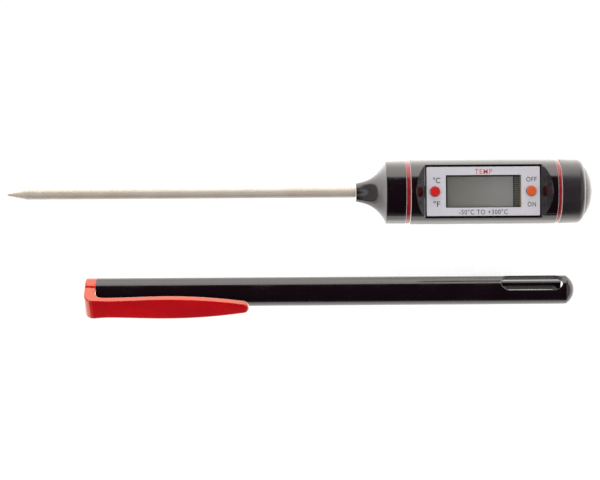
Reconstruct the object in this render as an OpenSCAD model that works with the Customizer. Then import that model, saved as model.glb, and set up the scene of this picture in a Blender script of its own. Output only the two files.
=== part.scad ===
// Digital darkroom thermometer with its loose pocket sheath.
// The thermometer lies along X with its tip towards -X, the sheath lies beside it,
// and both rest on the plane z = 0. Millimetres, +Z up, origin under the middle of the set.

/* [Whole set] */
// Length of the thermometer from the tip to the dome of the cap
overall_len = 240; // [236:1:244]
// Distance between the thermometer's axis and the sheath's axis
axis_gap = 40.5; // [36:0.5:60]

/* [Probe] */
// Length of the probe that stands out of the neck, pointed tip included
probe_len = 143; // [140:1:146]
// Outer diameter of the probe tube
probe_d = 4.1; // [3.9:0.1:4.2]
// Wall of the probe tube
probe_wall = 0.4; // [0.3:0.05:0.5]
// Length of the pointed tip
tip_len = 8.1; // [7:0.1:8.2]
// Radius of the point's rounded end
tip_r = 0.45; // [0.3:0.05:0.6]

/* [Nose cone] */
// Diameter of the neck where the probe enters
neck_d = 7.74; // [7.5:0.02:7.9]
// Length of the trumpet flare
flare_len = 12.2; // [12:0.1:12.4]
// Diameter of the collar behind the flare
collar_d = 25.8; // [25:0.1:26]
// Length of the collar
collar_len = 8; // [7:0.1:9]

/* [Handle] */
// Outer diameter of the barrel
barrel_d = 26.4; // [26:0.1:26.6]
// Length of the barrel between the two red rings
barrel_len = 59.5; // [59.5:0.1:60]
// Wall of the barrel
wall = 1.5; // [1.4:0.05:1.6]
// Width of the front red ring
front_ring_w = 1.8; // [1.6:0.1:2]
// Width of the rear red ring
rear_ring_w = 1.5; // [1.4:0.1:1.6]
// Diameter of the red rings
ring_d = 25.7; // [25.2:0.1:25.8]

/* [Face] */
// Height of the flat face above the handle's axis
face_z = 7.5; // [7.4:0.05:7.6]
// Length of the flat face between its ramps
face_len = 47.3; // [47.2:0.1:47.5]
// Distance from the barrel's front end to the flat face
face_start = 6; // [5.8:0.1:6.2]
// Run of each ramp along the handle
ramp_run = 3.9; // [3.8:0.1:4]
// Length of the label
label_len = 45.9; // [45:0.1:46]
// Width of the label
label_w = 19.9; // [19:0.1:20]
// Length of the display opening
window_len = 30.6; // [30:0.1:31]
// Width of the display opening
window_w = 13.2; // [12.6:0.1:13.4]
// Distance from the middle of the face to the left button
left_button_x = -19.7; // [-19.8:0.05:-19.6]
// Distance from the middle of the face to the right button
right_button_x = 19.45; // [19.4:0.05:19.5]
// Diameter of the buttons
button_d = 4; // [3.8:0.1:4.1]
// Height of the buttons above the label
button_rise = 1.5; // [1.2:0.1:1.8]

/* [Battery] */
// Diameter of the button cell
cell_d = 11.6; // [11.6:0.1:11.6]
// Height of the button cell
cell_h = 5.4; // [5.4:0.1:5.4]
// Diameter of the barrel's neck that the cap screws onto
cap_neck_d = 20.2; // [20:0.1:20.4]
// Radial clearance of the cap on that neck
thread_gap = 0.1; // [0.08:0.01:0.12]

/* [Sheath] */
// Length of the sheath, red mouth included
sheath_len = 202.2; // [200:0.2:204]
// Distance from the middle of the set to the sheath's closed end
sheath_end_x = 113.4; // [112:0.1:115]
// Outer diameter of the sheath
sheath_d = 12.1; // [12:0.1:12.2]
// Bore of the sheath, a sliding fit on the thermometer's neck
sheath_bore_d = 8.1; // [8:0.05:8.2]
// Length of the slot near the closed end
slot_len = 25.7; // [24:0.1:26]
// Width of the slot
slot_w = 7; // [6:0.1:7]
// Turn of the slot about the sheath's axis, from straight up towards the thermometer
slot_turn = 37; // [30:1:40]
// Turn of the pocket clip about the sheath's axis, from straight up and away from the thermometer
clip_turn = 41.5; // [38:0.5:45]
// Length of the red mouth ring
mouth_len = 4.6; // [4.4:0.1:5.5]
// Length of the clip from the mouth to its tip
clip_len = 67.6; // [60:0.1:70]
// Thickness of the clip's arm
clip_t = 2.6; // [2.4:0.1:2.8]
// Distance from the sheath's axis to the clip's outer face
clip_out = 10.75; // [10.5:0.05:11]
// Width of the clip at the mouth
clip_mouth_w = 10.8; // [10.4:0.1:11]
// Width of the clip at its waist, just behind the root
clip_waist_w = 9.6; // [9:0.1:10]
// Greatest width of the clip
clip_mid_w = 11; // [10.5:0.1:11.5]
// Width of the clip near its tip
clip_tip_w = 5.3; // [5:0.1:6]

/* [Hidden] */
$fn = 96;

// Colours
black = [0.07, 0.06, 0.07];
red = [0.68, 0.03, 0.10];
orange = [0.74, 0.29, 0.10];
steel = [0.72, 0.67, 0.62];
label_silver = [0.70, 0.70, 0.74];
board_green = [0.10, 0.30, 0.16];

// A small amount by which a cutter passes the face it cuts
eps = 0.5;

// Stations along X
tip_x = -overall_len / 2;
neck_x = tip_x + probe_len;
flare_x = neck_x + flare_len;
front_ring_x = flare_x + collar_len;
barrel_x = front_ring_x + front_ring_w;
rear_ring_x = barrel_x + barrel_len;
cap_x = rear_ring_x + rear_ring_w;
cap_end_x = overall_len / 2;
face_x0 = barrel_x + face_start;
face_x1 = face_x0 + face_len;
face_mid_x = (face_x0 + face_x1) / 2;

// Radii
probe_r = probe_d / 2;
probe_bore_r = probe_r - probe_wall;
shank_r = probe_r - 0.2;
neck_r = neck_d / 2;
collar_r = collar_d / 2;
barrel_r = barrel_d / 2;
barrel_bore_r = barrel_r - wall;
ring_r = ring_d / 2;
cap_neck_r = cap_neck_d / 2;
cell_r = cell_d / 2;

// Where the two axes lie: the set's outline is centred on the origin and both rest on z = 0
clip_reach = clip_out * sin(clip_turn) + clip_mid_w / 2 * cos(clip_turn);
handle_y = (axis_gap + clip_reach - barrel_r) / 2;
handle_z = barrel_r;
sheath_y = handle_y - axis_gap;
sheath_z = sheath_d / 2;

// Probe: the tube's ground shank is moulded into the nose cone
shank_x = neck_x - 0.3;
tube_back_x = neck_x + 17;
tip_plug_len = 1.9;
bead_r = 0.9;
bead_x = tip_x + 10.5;
bead_len = 2.5;
potting_r = probe_bore_r - 0.02;
potting_x0 = tip_x + tip_len + tip_plug_len + 0.1;
potting_len = 7.3;
lead_r = 0.35;
lead_y = 0.5;
crimp_r = 3.2;
crimp_len = 3;

// Nose cone: its cavity takes the crimp collar, and its spigot fills the barrel's mouth
nose_cavity_x = neck_x + 14;
nose_cavity_r = 9.5;
spigot_r = barrel_bore_r - 0.1;
spigot_end_x = barrel_x + 4;
spigot_flat_z = 7.2;

// Face: the deck under the label, seen from the side, is the recess offset by the deck's thickness
deck_t = 1.6;
deck_under_z = face_z - deck_t;
ramp_rise = barrel_r - face_z;
ramp_slope = ramp_rise / ramp_run;
ramp_angle = atan(ramp_slope);
label_t = 0.2;
label_x0 = face_x0 + 0.6;
window_x0 = face_mid_x - window_len / 2;
window_lap = 1;
window_t = 0.8;
button_r = button_d / 2;
button_gap = 0.1;
left_x = face_mid_x + left_button_x;
right_x = face_mid_x + right_button_x;

// Display stack, from the deck down to the board
board_z = 1.4;
board_t = 1.2;
board_top_z = board_z + board_t;
board_x0 = barrel_x + 4.5;
board_len = 50;
board_half_w = 10.9;
glass_t = 1.1;
glass_top_z = deck_under_z - 0.1;
glass_x0 = window_x0 - 0.7;
front_glass_len = window_len + 1.4;
rear_glass_len = front_glass_len - 3.7;
glass_half_w = 7.6;
strip_w = 2.2;
strip_x0 = glass_x0 + rear_glass_len + 0.5;
strip_half_len = 6.8;
frame_half_w = 10;
frame_end_wall = 0.6;
frame_play = 0.1;
screw_inset_x = 3.5;
screw_y = 8.85;
screw_r = 0.6;
screw_head_r = 1.1;
screw_head_h = 0.6;
screw_len = 3.2;
rail_t = 0.8;
rail_gap = 0.1;
rail_y = 10.3;

// Switches and buttons
switch_w = 4.5;
switch_h = 1.7;
switch_floor = 0.2;
plunger_r = 1.1;
plunger_gap = 0.1;
plunger_z = board_top_z + switch_floor + 0.6;
flange_r = 2.5;
flange_h = 0.8;
flange_z = deck_under_z - 0.05 - flange_h;
button_top_z = face_z + label_t + button_rise;

// Battery compartment: the plug with the neck, the holder in it and the cell that leaves with the cap
cap_neck_end_x = rear_ring_x + 5;
plug_flange_t = 1.3;
plug_r = barrel_bore_r - 0.05;
holder_r = 8;
holder_flange_r = 9.2;
holder_flange_t = 1.3;
holder_end_x = cap_neck_end_x - 0.2;
pocket_r = cell_r + 0.15;
pocket_x = rear_ring_x + 1;
cell_x = pocket_x + 1.7;
cap_floor_x = cell_x + cell_h + 0.1;
contact_t = 0.25;
contact_y = pocket_r;
contact_half_w = 1.4;
spring_wire_r = 0.25;
spring_base_r = 4.5;
spring_top_r = 2.1;
spring_turns = 3;
holder_flange_x = rear_ring_x - plug_flange_t - holder_flange_t;
tab_x = holder_flange_x - 0.6;

// Cap outline
cap_r = 13.1;
cap_back_r = 12.9;
cap_corner_x = cap_x + 7.2;
cap_corner_r = 2.5;
cap_corner_turn = 78;
dome_edge_r = cap_back_r - cap_corner_r + cap_corner_r * cos(cap_corner_turn);
dome_edge_x = cap_corner_x + cap_corner_r * sin(cap_corner_turn);
dome_h = cap_end_x - dome_edge_x;
dome_sphere_r = (dome_edge_r * dome_edge_r + dome_h * dome_h) / (2 * dome_h);

// Sheath
sheath_r = sheath_d / 2;
sheath_bore_r = sheath_bore_d / 2;
sheath_x0 = sheath_end_x - sheath_len;
mouth_lip = 1;
mouth_seat_r = 5;
sheath_dome_h = 3.5;
sheath_dome_x = sheath_end_x - sheath_dome_h;
sheath_dome_r = (sheath_r * sheath_r + sheath_dome_h * sheath_dome_h) / (2 * sheath_dome_h);
sheath_floor_x = sheath_dome_x - 1.4;
slot_x1 = sheath_dome_x - 1.6;
slot_x0 = slot_x1 - slot_len;

// Clip
clip_in = clip_out - clip_t;
clip_back_x = sheath_x0 + mouth_len;
clip_corner_r = 3.8;
clip_fillet = 2.7;
clip_root_x = clip_back_x + 3;
clip_waist_x = clip_back_x + 4.5;
clip_widest_x = clip_back_x + 29;
clip_tip_x = sheath_x0 + clip_len;
clip_end_r = clip_tip_w / 2;
clip_pip_r = 4;
clip_pip_h = 0.6;

// ---- shared shapes ----

// Places a child of the thermometer: x as it is, y and z from the handle's axis
module on_handle() {
    translate([0, handle_y, handle_z]) children();
}

// Places a child of the sheath: x as it is, y and z from the sheath's axis
module on_sheath() {
    translate([0, sheath_y, sheath_z]) children();
}

// The same, turned so that the clip points along the local +Z
module on_clip() {
    on_sheath() rotate([clip_turn, 0, 0]) children();
}

// A round rod along X
module rod(r, x0, x1) {
    translate([x0, 0, 0]) rotate([0, 90, 0]) cylinder(r = r, h = x1 - x0);
}

// A ring along X
module ring(r_out, r_in, x0, x1) {
    difference() {
        rod(r_out, x0, x1);
        rod(r_in, x0 - eps, x1 + eps);
    }
}

// A solid of revolution about X from an outline of [x, radius] points
module turned(outline) {
    rotate([0, 90, 0]) rotate_extrude() polygon([for (p = outline) [p[1], p[0]]]);
}

// A box between two corners
module block(low, high) {
    translate(low) cube(high - low);
}

// An outline of [x, z] points extruded across Y
module profile_y(outline, half_w) {
    translate([0, half_w, 0]) rotate([90, 0, 0]) linear_extrude(2 * half_w) polygon(outline);
}

// Cross-section ring of a swept wire at p, square to the direction d
function wire_ring(p, d, r, sides) =
    let (w = d / norm(d))
    let (side = abs(w[2]) < 0.9 ? cross(w, [0, 0, 1]) : cross(w, [1, 0, 0]))
    let (u = side / norm(side), v = cross(w, u))
    [for (i = [0 : sides - 1]) p + r * (cos(360 * i / sides) * u + sin(360 * i / sides) * v)];

// A wire of radius r swept along a path
module wire(path, r, sides = 8) {
    n = len(path);
    rings = [for (i = [0 : n - 1])
        wire_ring(path[i], path[min(i + 1, n - 1)] - path[max(i - 1, 0)], r, sides)];
    points = [for (ring_points = rings) for (p = ring_points) p];
    walls = [for (i = [0 : n - 2]) for (j = [0 : sides - 1])
        [i * sides + j, i * sides + (j + 1) % sides, (i + 1) * sides + (j + 1) % sides, (i + 1) * sides + j]];
    start_cap = [[for (j = [sides - 1 : -1 : 0]) j]];
    end_cap = [[for (j = [0 : sides - 1]) (n - 1) * sides + j]];
    polyhedron(points, concat(walls, start_cap, end_cap));
}

// ---- probe ----

module probe_tube() {
    color(steel) on_handle() difference() {
        union() {
            rod(probe_r, tip_x + tip_len, shank_x);
            rod(shank_r, tip_x + tip_len, tube_back_x);
        }
        rod(probe_bore_r, tip_x + tip_len - eps, tube_back_x + eps);
    }
}

module probe_tip() {
    point = [for (a = [0 : 15 : 75]) [tip_x + tip_r - tip_r * cos(a), tip_r * sin(a)]];
    outline = concat(point, [
        [tip_x + tip_len, probe_r],
        [tip_x + tip_len, probe_bore_r],
        [tip_x + tip_len + tip_plug_len, probe_bore_r],
        [tip_x + tip_len + tip_plug_len, 0]]);
    color(steel) on_handle() turned(outline);
}

module thermistor_bead() {
    color("saddlebrown") on_handle() rod(bead_r, bead_x, bead_x + bead_len);
}

module thermal_potting() {
    color("whitesmoke") on_handle() difference() {
        rod(potting_r, potting_x0, potting_x0 + potting_len);
        rod(bead_r, bead_x, bead_x + bead_len);
        for (side = [-1, 1])
            translate([0, side * lead_y, 0]) rod(lead_r, bead_x + bead_len, potting_x0 + potting_len + eps);
    }
}

// Two insulated leads from the bead, through the tube and the nose cone, onto the board
module sensor_leads() {
    color("dimgray") on_handle() for (side = [-1, 1])
        wire([
            [bead_x + bead_len, side * lead_y, 0],
            [tube_back_x, side * lead_y, 0],
            [tube_back_x + 2, side * 0.7, 0.3],
            [tube_back_x + 4, side * 0.95, 1.2],
            [tube_back_x + 6, side * 1.2, 2.4],
            [tube_back_x + 8, side * 1.4, 3.0],
            [board_x0 + 1.5, side * 1.5, board_top_z + lead_r + 0.02]], lead_r);
}

module crimp_collar() {
    color("goldenrod") on_handle() ring(crimp_r, shank_r, nose_cavity_x, nose_cavity_x + crimp_len);
}

// ---- handle ----

// Neck, trumpet flare and collar in one outline: the flare's radius grows with the cube of its length
function flare_r(s) = neck_r + 0.2 * s + (collar_r - neck_r - 0.2 * flare_len) * pow(s / flare_len, 3);

module nose_cone() {
    flare = [for (i = [0 : 16]) [neck_x + flare_len * i / 16, flare_r(flare_len * i / 16)]];
    outline = concat([[neck_x, 0]], flare, [
        [front_ring_x, collar_r],
        [front_ring_x, spigot_r],
        [spigot_end_x, spigot_r],
        [spigot_end_x, 0]]);
    color(black) on_handle() difference() {
        turned(outline);
        rod(shank_r, neck_x - eps, nose_cavity_x + eps);
        rod(nose_cavity_r, nose_cavity_x, spigot_end_x + eps);
        block([barrel_x + 0.8, -barrel_r, spigot_flat_z], [spigot_end_x + eps, barrel_r, barrel_r]);
    }
}

module front_ring() {
    color(red) on_handle() ring(ring_r, spigot_r, front_ring_x, barrel_x);
}

// The recess seen from the side, moved down and outwards by t to make the deck's underside
function recess_outline(t) =
    let (drop = face_z - t, high = barrel_r + 2)
    let (shift = t / sin(ramp_angle) - t / ramp_slope)
    let (run = (high - drop) / ramp_slope)
    [[face_x0 - shift, drop], [face_x1 + shift, drop],
     [face_x1 + shift + run, high], [face_x0 - shift - run, high]];

// Two pairs of rails on the barrel's inner wall that the board slides into
module board_rails() {
    intersection() {
        rod(barrel_bore_r + wall / 2, board_x0, board_x0 + board_len);
        for (side = [-1, 1])
            for (z = [board_z - rail_gap - rail_t, board_top_z + rail_gap])
                translate([board_x0 + 0.5, side > 0 ? rail_y : -rail_y - 2, z])
                    cube([board_len - 1, 2, rail_t]);
    }
}

module barrel() {
    color(black) on_handle() difference() {
        union() {
            difference() {
                rod(barrel_r, barrel_x, rear_ring_x);
                profile_y(recess_outline(0), barrel_r + eps);
                difference() {
                    rod(barrel_bore_r, barrel_x - eps, rear_ring_x + eps);
                    profile_y(recess_outline(deck_t), barrel_r + eps);
                }
            }
            board_rails();
        }
        display_opening(deck_under_z - eps, face_z + eps);
        block([window_x0 - window_lap, -window_w / 2 - window_lap, face_z - window_t],
              [window_x0 + window_len + window_lap, window_w / 2 + window_lap, face_z + eps]);
        for (x = [left_x, right_x]) button_hole(x, deck_under_z - eps, face_z + eps);
    }
}

// Cutter for the display opening between two heights
module display_opening(z0, z1) {
    block([window_x0, -window_w / 2, z0], [window_x0 + window_len, window_w / 2, z1]);
}

// Cutter for a button's hole between two heights
module button_hole(x, z0, z1) {
    translate([x, 0, z0]) cylinder(r = button_r + button_gap, h = z1 - z0);
}

module face_label() {
    color(label_silver) on_handle() difference() {
        block([label_x0, -label_w / 2, face_z], [label_x0 + label_len, label_w / 2, face_z + label_t]);
        display_opening(face_z - eps, face_z + label_t + eps);
        for (x = [left_x, right_x]) button_hole(x, face_z - eps, face_z + label_t + eps);
    }
}

module display_window() {
    color([0.8, 0.85, 0.9, 0.4]) on_handle()
        block([window_x0 - window_lap, -window_w / 2 - window_lap, face_z - window_t],
              [window_x0 + window_len + window_lap, window_w / 2 + window_lap, face_z]);
}

// ---- display stack and board ----

module lcd_front_glass() {
    color([0.45, 0.44, 0.42]) on_handle()
        block([glass_x0, -glass_half_w, glass_top_z - glass_t],
              [glass_x0 + front_glass_len, glass_half_w, glass_top_z]);
}

module lcd_rear_glass() {
    color([0.5, 0.48, 0.45]) on_handle()
        block([glass_x0, -glass_half_w, glass_top_z - 2 * glass_t],
              [glass_x0 + rear_glass_len, glass_half_w, glass_top_z - glass_t]);
}

module contact_strip() {
    color([0.2, 0.2, 0.2]) on_handle()
        block([strip_x0, -strip_half_len, board_top_z],
              [strip_x0 + strip_w, strip_half_len, glass_top_z - glass_t]);
}

// Calls its child at the four frame screws
module at_frame_screws() {
    for (x = [glass_x0 + screw_inset_x, glass_x0 + front_glass_len - screw_inset_x])
        for (y = [-screw_y, screw_y]) translate([x, y, 0]) children();
}

module lcd_frame() {
    glass_x1 = glass_x0 + front_glass_len;
    color(black) on_handle() difference() {
        block([glass_x0 - frame_play - frame_end_wall, -frame_half_w, board_top_z],
              [glass_x1 + frame_play + frame_end_wall, frame_half_w, glass_top_z]);
        block([glass_x0 - frame_play, -glass_half_w - frame_play, board_top_z - eps],
              [glass_x1 + frame_play, glass_half_w + frame_play, glass_top_z + eps]);
        at_frame_screws() translate([0, 0, board_top_z - eps]) cylinder(r = screw_r, h = screw_len);
    }
}

module frame_screws() {
    color("silver") on_handle() at_frame_screws() {
        translate([0, 0, board_z - screw_head_h]) cylinder(r = screw_head_r, h = screw_head_h);
        translate([0, 0, board_z - 0.01]) cylinder(r = screw_r, h = screw_len);
    }
}

module circuit_board() {
    color(board_green) on_handle() difference() {
        block([board_x0, -board_half_w, board_z], [board_x0 + board_len, board_half_w, board_top_z]);
        at_frame_screws() translate([0, 0, board_z - eps]) cylinder(r = screw_r, h = board_t + 2 * eps);
    }
}

// The chip under its blob of resin, below the board
module chip_blob() {
    blob_r = 4.2;
    blob_h = 1.6;
    outline = [for (a = [0 : 9 : 90]) [-blob_h * sin(a), blob_r * cos(a)]];
    color([0.08, 0.08, 0.08]) on_handle() translate([face_mid_x - 5, 0, board_z]) rotate([0, -90, 0])
        turned(concat([[0, 0]], outline));
}

// Capacitors and resistors in a row, and the crystal's can, below the board
module board_parts() {
    chip_w = 1.25;
    chip_l = 2;
    chip_h = 0.9;
    crystal_r = 1;
    crystal_l = 6;
    color("tan") on_handle() {
        for (i = [0 : 4])
            translate([face_mid_x + 3 + 3 * i, -5, board_z - chip_h]) cube([chip_l, chip_w, chip_h]);
        for (i = [0 : 3])
            translate([face_mid_x - 17 + 3.2 * i, 5.5, board_z - chip_h]) cube([chip_l, chip_w, chip_h]);
        translate([0, 4, board_z - crystal_r]) rod(crystal_r, face_mid_x + 4, face_mid_x + 4 + crystal_l);
    }
}

// ---- switches and buttons ----

module tact_switch(x) {
    color([0.15, 0.15, 0.16]) on_handle() translate([x, 0, board_top_z]) difference() {
        translate([-switch_w / 2, -switch_w / 2, 0]) cube([switch_w, switch_w, switch_h]);
        translate([0, 0, switch_floor]) cylinder(r = plunger_r + plunger_gap, h = switch_h);
    }
}

module switch_plunger(x) {
    color("ivory") on_handle() translate([x, 0, plunger_z]) cylinder(r = plunger_r, h = flange_z - plunger_z);
}

// A button with a flange that keeps it under the deck and a slightly domed top
module push_button(x, tint) {
    edge = 0.35;
    outline = [
        [flange_z, 0], [flange_z, flange_r], [flange_z + flange_h, flange_r], [flange_z + flange_h, button_r],
        [button_top_z - edge, button_r], [button_top_z - edge / 3, button_r - edge / 3],
        [button_top_z, button_r - edge], [button_top_z, 0]];
    color(tint) on_handle() translate([x, 0, 0]) rotate([0, -90, 0]) turned(outline);
}

module left_switch() { tact_switch(left_x); }
module right_switch() { tact_switch(right_x); }
module left_plunger() { switch_plunger(left_x); }
module right_plunger() { switch_plunger(right_x); }
module left_button() { push_button(left_x, red); }
module right_button() { push_button(right_x, orange); }

// ---- battery compartment ----

// Closes the barrel's rear end, and its neck takes the cap
module rear_plug() {
    color(black) on_handle() difference() {
        union() {
            rod(plug_r, rear_ring_x - plug_flange_t, rear_ring_x);
            rod(cap_neck_r, rear_ring_x - plug_flange_t, cap_neck_end_x);
        }
        rod(holder_r + 0.05, rear_ring_x - plug_flange_t - eps, cap_neck_end_x + eps);
    }
}

module battery_holder() {
    color([0.16, 0.16, 0.17]) on_handle() difference() {
        union() {
            rod(holder_flange_r, holder_flange_x, holder_flange_x + holder_flange_t);
            rod(holder_r, holder_flange_x, holder_end_x);
        }
        rod(pocket_r, pocket_x, holder_end_x + eps);
        block([holder_flange_x - eps, contact_y - 0.05, -contact_half_w],
              [holder_end_x - 0.8, contact_y + contact_t, contact_half_w]);
        translate([0, -spring_base_r, 0]) rod(spring_wire_r, holder_flange_x - eps, pocket_x + eps);
    }
}

// A conical spring that presses on the cell, with a straight leg through the holder's floor
module battery_spring() {
    steps = 12 * spring_turns;
    x0 = pocket_x + spring_wire_r;
    x1 = cell_x - spring_wire_r - 0.1;
    leg = [[tab_x, -spring_base_r, 0], [x0 - 0.3, -spring_base_r, 0]];
    coil = [for (i = [0 : steps])
        let (t = i / steps, a = 360 * spring_turns * t, r = spring_base_r + (spring_top_r - spring_base_r) * t)
        [x0 + (x1 - x0) * t, -r * cos(a), r * sin(a)]];
    color("silver") on_handle() wire(concat(leg, coil), spring_wire_r);
}

// A flat leaf beside the cell's rim, with its tab through the holder's floor
module battery_contact() {
    color("goldenrod") on_handle()
        block([tab_x, contact_y, -contact_half_w],
              [holder_end_x - 0.8, contact_y + contact_t, contact_half_w]);
}

// One short wire from each battery tab to the board
module battery_wires() {
    board_x1 = board_x0 + board_len;
    color("firebrick") on_handle() for (y = [contact_y + contact_t / 2, -spring_base_r])
        wire([
            [tab_x, y, 0],
            [tab_x - 0.3, y, 0],
            [tab_x - 0.6, y, 0.5],
            [tab_x - 0.8, y, 1.4],
            [tab_x - 0.9, y, 2.4],
            [tab_x - 1.4, y, 3.1],
            [board_x1 - 1.2, y, board_top_z + 0.42],
            [board_x1 - 2.4, y, board_top_z + 0.37]], lead_r);
}

module battery_cell() {
    rim = 0.5;
    outline = [
        [cell_x, 0], [cell_x, cell_r - 1], [cell_x + rim, cell_r - 0.4], [cell_x + rim, cell_r],
        [cell_x + cell_h - 0.3, cell_r], [cell_x + cell_h, cell_r - 0.3], [cell_x + cell_h, 0]];
    color("gainsboro") on_handle() turned(outline);
}

module rear_ring() {
    color(red) on_handle() ring(ring_r, cap_neck_r + thread_gap, rear_ring_x, cap_x);
}

module battery_cap() {
    corner = [for (a = [0 : 6 : cap_corner_turn])
        [cap_corner_x + cap_corner_r * sin(a), cap_back_r - cap_corner_r + cap_corner_r * cos(a)]];
    dome_turn = asin(dome_edge_r / dome_sphere_r);
    dome = [for (i = [1 : 10])
        let (a = dome_turn * (1 - i / 10))
        [cap_end_x - dome_sphere_r * (1 - cos(a)), dome_sphere_r * sin(a)]];
    outline = concat([[cap_x, 0], [cap_x, cap_r]], corner, dome);
    color(black) on_handle() difference() {
        turned(outline);
        rod(cap_neck_r + thread_gap, cap_x - eps, cap_neck_end_x + 0.3);
        rod(pocket_r, cap_x - eps, cap_floor_x);
    }
}

// ---- sheath ----

module sheath_tube() {
    dome_turn = asin(sheath_r / sheath_dome_r);
    dome = [for (i = [0 : 10])
        let (a = dome_turn * (1 - i / 10))
        [sheath_end_x - sheath_dome_r * (1 - cos(a)), sheath_dome_r * sin(a)]];
    outline = concat([
        [sheath_x0 + mouth_lip, 0], [sheath_x0 + mouth_lip, mouth_seat_r],
        [clip_back_x, mouth_seat_r], [clip_back_x, sheath_r]], dome);
    color(black) difference() {
        on_sheath() turned(outline);
        on_sheath() rod(sheath_bore_r, sheath_x0, sheath_floor_x);
        on_sheath() rotate([-slot_turn, 0, 0]) sheath_slot();
    }
}

// Cutter for the round-ended slot, which passes through both walls
module sheath_slot() {
    reach = sheath_r + eps;
    for (x = [slot_x0 + slot_w / 2, slot_x1 - slot_w / 2])
        translate([x, 0, -reach]) cylinder(r = slot_w / 2, h = 2 * reach);
    block([slot_x0 + slot_w / 2, -slot_w / 2, -reach], [slot_x1 - slot_w / 2, slot_w / 2, reach]);
}

// The mouth ring, with the block that carries the clip's root round its corner
module clip_ring() {
    corner = [for (a = [0 : 10 : 90])
        [sheath_x0 + clip_corner_r - clip_corner_r * cos(a), clip_out - clip_corner_r + clip_corner_r * sin(a)]];
    fillet = [for (a = [90 : -15 : 0])
        [clip_back_x + clip_fillet - clip_fillet * cos(a), clip_in - clip_fillet + clip_fillet * sin(a)]];
    outline = concat([[sheath_x0, 0]], corner, [[clip_root_x, clip_out], [clip_root_x, clip_in]], fillet,
        [[clip_back_x, 0]]);
    color(red) difference() {
        union() {
            on_sheath() rod(sheath_r, sheath_x0, clip_back_x);
            on_clip() intersection() {
                profile_y(outline, clip_mouth_w);
                linear_extrude(2 * clip_out) clip_plan(sheath_x0, clip_root_x, 8);
            }
        }
        on_sheath() rod(sheath_bore_r, sheath_x0 - eps, clip_back_x);
        on_sheath() rod(mouth_seat_r, sheath_x0 + mouth_lip, clip_back_x + eps);
        on_sheath() rod(sheath_r + 0.02, clip_back_x, clip_root_x);
    }
}

// A smooth step from a to b while x goes from x0 to x1
function eased(x, x0, x1, a, b) = a + (b - a) * (1 - cos(180 * (x - x0) / (x1 - x0))) / 2;

// The clip's width at x: a slight waist behind the mouth, a swelling, then a taper to the tip
function clip_w(x) =
    x < clip_waist_x ? eased(x, sheath_x0, clip_waist_x, clip_mouth_w, clip_waist_w)
    : x < clip_widest_x ? eased(x, clip_waist_x, clip_widest_x, clip_waist_w, clip_mid_w)
    : clip_mid_w - (clip_mid_w - clip_tip_w) * pow((x - clip_widest_x) / (clip_tip_x - clip_end_r - clip_widest_x), 2);

// The clip's sides between two stations, with further points round the far end
module clip_plan(x0, x1, steps, end = []) {
    stations = [for (i = [0 : steps]) x0 + (x1 - x0) * i / steps];
    polygon(concat(
        [for (x = stations) [x, clip_w(x) / 2]],
        end,
        [for (i = [steps : -1 : 0]) [stations[i], -clip_w(stations[i]) / 2]]));
}

module clip_arm() {
    tip = [for (a = [75 : -15 : -75]) [clip_tip_x - clip_end_r + clip_end_r * cos(a), clip_end_r * sin(a)]];
    color(red) on_clip() {
        translate([0, 0, clip_in]) linear_extrude(clip_t)
            clip_plan(clip_root_x, clip_tip_x - clip_end_r, 24, tip);
        intersection() {
            translate([clip_tip_x - 6, 0, clip_in + clip_pip_r - clip_pip_h]) sphere(r = clip_pip_r);
            block([clip_tip_x - 12, -5, clip_in - 1], [clip_tip_x, 5, clip_in + 0.5]);
        }
    }
}

probe_tube();
probe_tip();
thermistor_bead();
thermal_potting();
sensor_leads();
crimp_collar();
nose_cone();
front_ring();
barrel();
face_label();
display_window();
lcd_front_glass();
lcd_rear_glass();
contact_strip();
lcd_frame();
frame_screws();
circuit_board();
chip_blob();
board_parts();
left_switch();
right_switch();
left_plunger();
right_plunger();
left_button();
right_button();
rear_plug();
battery_holder();
battery_spring();
battery_contact();
battery_wires();
battery_cell();
rear_ring();
battery_cap();
sheath_tube();
clip_ring();
clip_arm();
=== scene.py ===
"""Darkroom thermometer and its loose pocket sheath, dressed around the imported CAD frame.

Lengths are in millimetres up to the moment a mesh is made. Outlines are (x, radius) or (x, z) points.
"""

from math import asin, atan2, cos, pi, radians, sin, sqrt, tan

import bmesh
import bpy
from mathutils import Matrix, Vector


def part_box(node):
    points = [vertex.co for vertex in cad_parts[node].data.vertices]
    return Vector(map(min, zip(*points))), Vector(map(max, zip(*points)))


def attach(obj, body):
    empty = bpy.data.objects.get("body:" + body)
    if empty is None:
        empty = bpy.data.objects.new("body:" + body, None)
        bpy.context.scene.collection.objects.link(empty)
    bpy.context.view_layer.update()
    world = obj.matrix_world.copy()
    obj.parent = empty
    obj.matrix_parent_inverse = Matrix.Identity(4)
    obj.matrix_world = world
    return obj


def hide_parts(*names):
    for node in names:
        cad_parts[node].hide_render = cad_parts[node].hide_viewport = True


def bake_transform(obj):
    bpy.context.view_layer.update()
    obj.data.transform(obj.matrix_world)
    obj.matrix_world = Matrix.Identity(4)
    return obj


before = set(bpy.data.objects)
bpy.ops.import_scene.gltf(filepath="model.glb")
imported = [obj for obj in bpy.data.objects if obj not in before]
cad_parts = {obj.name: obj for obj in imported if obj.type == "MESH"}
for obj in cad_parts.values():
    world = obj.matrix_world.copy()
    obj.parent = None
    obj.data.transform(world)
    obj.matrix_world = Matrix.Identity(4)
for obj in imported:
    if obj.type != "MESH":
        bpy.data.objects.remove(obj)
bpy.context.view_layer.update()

MM = 0.001


# ---- places, read from the frame ----

def box_mm(node):
    """The lowest and highest corners of a CAD node, in millimetres."""
    low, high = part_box(node)
    return low / MM, high / MM


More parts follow.
